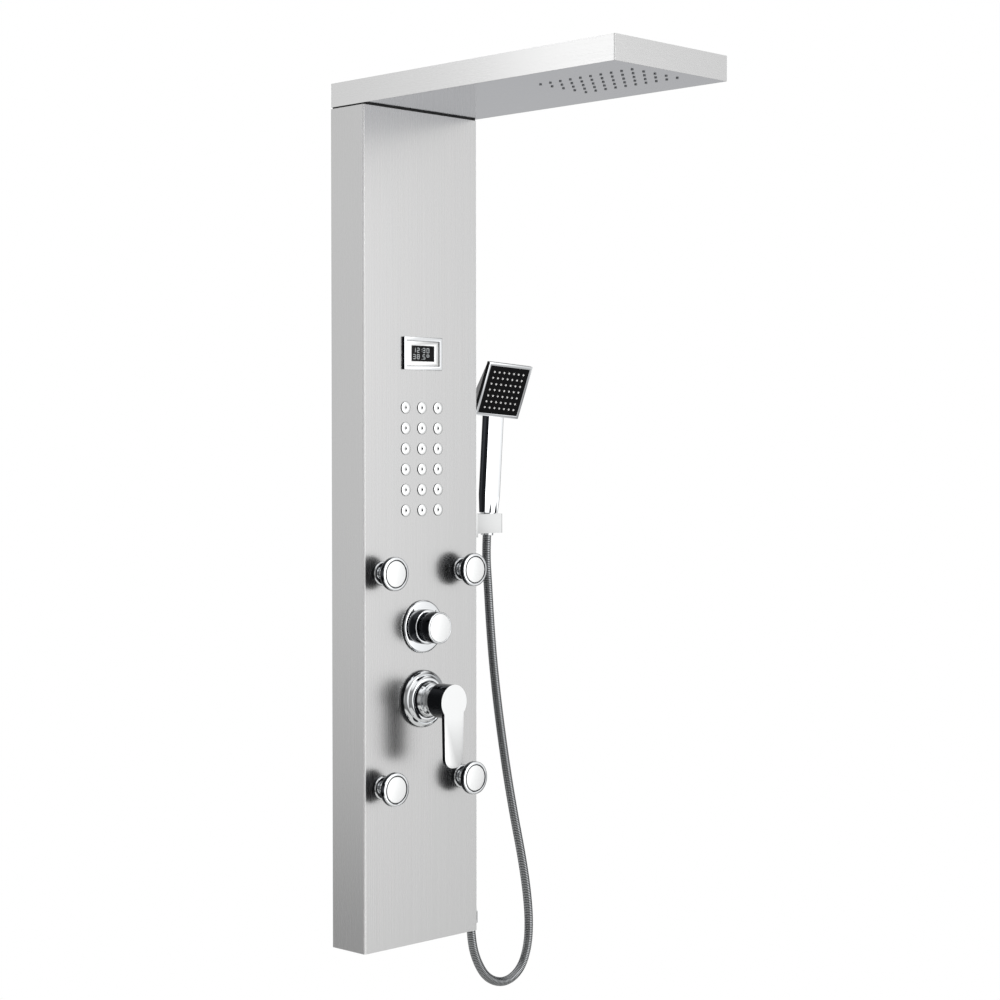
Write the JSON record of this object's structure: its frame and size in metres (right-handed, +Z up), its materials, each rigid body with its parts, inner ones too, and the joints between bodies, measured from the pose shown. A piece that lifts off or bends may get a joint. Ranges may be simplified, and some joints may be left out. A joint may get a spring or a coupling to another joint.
{
  "type": "shower panel column",
  "caption": "Wall-hung steel shower panel with rain head, body jets, diverter, lever mixer, display and hand shower on a hose.",
  "frame": {"origin": "middle of the upper wall bracket's back face, on the wall", "axes": "+X to the right of someone facing the panel, +Z up, the wall is the plane Y = 0 and the panel stands out towards -Y"},
  "size_m": [0.3299, 0.48, 1.1928],
  "materials": {
    "brushed": "vertically brushed stainless steel",
    "galvanised": "plain steel",
    "chrome": "polished chrome",
    "satin_chrome": "pale satin chrome",
    "brass": "cast and turned brass",
    "black_rubber": "matt",
    "grey_silicone": "matt",
    "black_plastic": "gloss",
    "white_plastic": "gloss",
    "grey_plastic": "moulded",
    "dark_lens": "tinted clear window",
    "brushed_pipe": "drawn stainless tube"
  },
  "bodies": {
    "panel": {"column_bottom_cap": "brushed", "column_casing": "brushed", "column_top_cap": "brushed", "cross_straps": "galvanised", "display_bezel": "chrome", "display_inner_frame": "satin_chrome", "display_lens": "dark_lens", "display_module": "black_plastic", "diverter_collar": "chrome", "diverter_flange": "chrome", "diverter_valve_body": "brass", "head_casing": "brushed", "head_gasket": "black_rubber", "head_nozzle_mat": "grey_silicone", "head_screws": "galvanised", "head_spray_plate": "brushed", "head_water_chamber": "grey_plastic", "holder_bracket": "satin_chrome", "hose": "chrome", "hose_bottom_nut": "chrome", "inlet_unions": "brass", "jet_bases": "chrome", "jet_loop_pipe": "brushed_pipe", "jet_nuts": "brass", "link_pipes": "brushed_pipe", "mini_jet_caps": "chrome", "mini_jet_manifold": "grey_plastic", "mixer_bonnet": "chrome", "mixer_cartridge": "brass", "mixer_flange": "chrome", "mixer_retaining_ring": "chrome", "mixer_valve_body": "brass", "outlet_elbow": "chrome", "panel_screws": "galvanised", "riser_pipe": "brushed_pipe", "temperature_sensor": "brass", "wall_brackets": "galvanised"},
    "jet_collar_upper_left": {"jet_seat_upper_left": "chrome"},
    "jet_tip_upper_left": {"jet_head_upper_left": "chrome", "jet_face_upper_left": "satin_chrome"},
    "jet_collar_upper_right": {"jet_seat_upper_right": "chrome"},
    "jet_tip_upper_right": {"jet_head_upper_right": "chrome", "jet_face_upper_right": "satin_chrome"},
    "jet_collar_lower_left": {"jet_seat_lower_left": "chrome"},
    "jet_tip_lower_left": {"jet_head_lower_left": "chrome", "jet_face_lower_left": "satin_chrome"},
    "jet_collar_lower_right": {"jet_seat_lower_right": "chrome"},
    "jet_tip_lower_right": {"jet_head_lower_right": "chrome", "jet_face_lower_right": "satin_chrome"},
    "diverter_knob": {"diverter_knob": "chrome", "diverter_knob_cap": "chrome", "diverter_stem": "brass"},
    "mixer_turner": {"mixer_rotor": "chrome", "mixer_lever_pin": "galvanised"},
    "mixer_lever": {"mixer_lever": "chrome"},
    "hand_shower": {"handset_body": "chrome", "handset_frame": "chrome", "handset_spray_face": "black_plastic", "handset_nozzles": "white_plastic", "hose_top_nut": "chrome"}
  },
  "joints": [
    {"name": "jet_spin_upper_left", "type": "hinge", "parent": "panel", "child": "jet_collar_upper_left", "pos_m": [-0.07, -0.0625, -0.42], "axis": [0, 1, 0], "continuous": true},
    {"name": "jet_tilt_upper_left", "type": "hinge", "parent": "jet_collar_upper_left", "child": "jet_tip_upper_left", "pos_m": [-0.07, -0.0625, -0.42], "axis": [1, 0, 0], "range_deg": [-15, 15]},
    {"name": "jet_spin_upper_right", "type": "hinge", "parent": "panel", "child": "jet_collar_upper_right", "pos_m": [0.07, -0.0625, -0.42], "axis": [0, 1, 0], "continuous": true},
    {"name": "jet_tilt_upper_right", "type": "hinge", "parent": "jet_collar_upper_right", "child": "jet_tip_upper_right", "pos_m": [0.07, -0.0625, -0.42], "axis": [1, 0, 0], "range_deg": [-15, 15]},
    {"name": "jet_spin_lower_left", "type": "hinge", "parent": "panel", "child": "jet_collar_lower_left", "pos_m": [-0.07, -0.0625, -0.692], "axis": [0, 1, 0], "continuous": true},
    {"name": "jet_tilt_lower_left", "type": "hinge", "parent": "jet_collar_lower_left", "child": "jet_tip_lower_left", "pos_m": [-0.07, -0.0625, -0.692], "axis": [1, 0, 0], "range_deg": [-15, 15]},
    {"name": "jet_spin_lower_right", "type": "hinge", "parent": "panel", "child": "jet_collar_lower_right", "pos_m": [0.07, -0.0625, -0.692], "axis": [0, 1, 0], "continuous": true},
    {"name": "jet_tilt_lower_right", "type": "hinge", "parent": "jet_collar_lower_right", "child": "jet_tip_lower_right", "pos_m": [0.07, -0.0625, -0.692], "axis": [1, 0, 0], "range_deg": [-15, 15]},
    {"name": "diverter_turn", "type": "hinge", "parent": "panel", "child": "diverter_knob", "pos_m": [0, -0.0625, -0.4915], "axis": [0, 1, 0], "continuous": true},
    {"name": "mixer_temperature", "type": "hinge", "parent": "panel", "child": "mixer_turner", "pos_m": [0, -0.086, -0.5845], "axis": [0, 1, 0], "range_deg": [-45, 45]},
    {"name": "mixer_flow", "type": "hinge", "parent": "mixer_turner", "child": "mixer_lever", "pos_m": [0, -0.086, -0.5845], "axis": [-1, 0, 0], "range_deg": [0, 20]},
    {"name": "hand_shower_lift", "type": "slide", "parent": "panel", "child": "hand_shower", "axis": [0.0698, 0, 0.9976], "range_m": [0, 0.06]}
  ]
}
